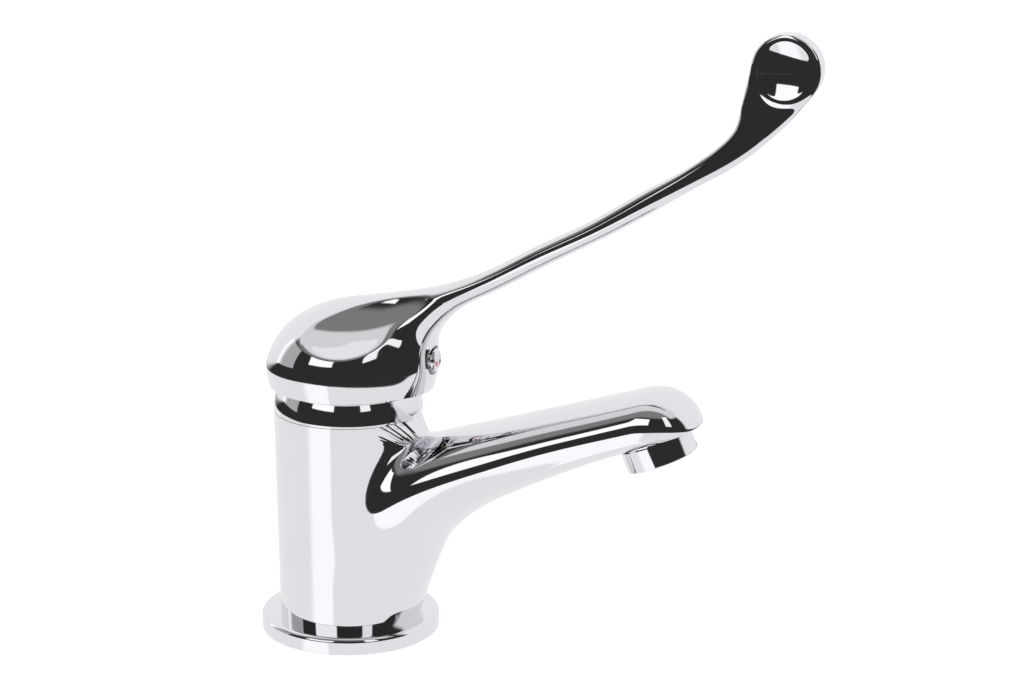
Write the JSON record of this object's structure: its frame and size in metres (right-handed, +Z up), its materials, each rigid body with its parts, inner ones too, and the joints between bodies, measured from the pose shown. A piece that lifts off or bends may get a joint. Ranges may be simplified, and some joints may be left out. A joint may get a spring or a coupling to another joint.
{
  "type": "single-lever basin mixer tap",
  "caption": "Chrome single-lever basin mixer tap with a fixed rising spout, an aerator and a long elbow lever that ends in a round pad.",
  "frame": {"origin": "centre of the underside, on the deck that the tap stands on", "axes": "+Z up, +X towards the spout and the lever, -Y the hot side"},
  "size_m": [0.1894, 0.0616, 0.2122],
  "materials": {
    "chrome_plate": "bright polished chrome plate",
    "black_rubber": "matte moulded rubber",
    "cartridge_plastic": "satin moulded plastic",
    "disc_ceramic": "lapped ceramic",
    "nut_brass": "turned brass",
    "spindle_brass": "drawn brass",
    "bare_steel": "plain stainless steel",
    "insert_plastic": "satin moulded plastic",
    "hot_red": "gloss enamel",
    "cold_blue": "gloss enamel"
  },
  "bodies": {
    "body": {"tap_body": "chrome_plate", "base_ring": "chrome_plate", "base_gasket": "black_rubber", "bonnet_collar": "chrome_plate", "collar_o_ring": "black_rubber", "cartridge_nut": "nut_brass", "cartridge_housing": "cartridge_plastic", "cartridge_base": "cartridge_plastic", "port_seals": "black_rubber", "disc_seals": "black_rubber", "fixed_disc": "disc_ceramic", "slip_ring": "cartridge_plastic", "aerator_housing": "chrome_plate", "aerator_insert": "insert_plastic", "aerator_screen": "bare_steel", "aerator_washer": "black_rubber"},
    "rotor": {"rotor": "cartridge_plastic", "rotor_o_ring": "black_rubber", "spindle_pin": "bare_steel"},
    "disc": {"moving_disc": "disc_ceramic", "disc_carrier": "cartridge_plastic"},
    "lever": {"spindle": "spindle_brass", "lever_handle": "chrome_plate", "grub_screw": "bare_steel", "index_plug": "chrome_plate", "hot_mark": "hot_red", "cold_mark": "cold_blue"}
  },
  "joints": [
    {"name": "lever_swivel", "type": "hinge", "parent": "body", "child": "rotor", "pos_m": [0, 0, 0.077], "axis": [0, 0, 1], "range_deg": [-50, 50]},
    {"name": "lever_lift", "type": "hinge", "parent": "rotor", "child": "lever", "pos_m": [0, 0, 0.077], "axis": [0, -1, 0], "range_deg": [0, 25]},
    {"name": "disc_slide", "type": "slide", "parent": "rotor", "child": "disc", "axis": [1, 0, 0], "range_m": [0, 0.0075]}
  ],
  "couplings": [
    {"joint": "disc_slide", "follows": "lever_lift", "m_per_rad": 0.016369}
  ]
}
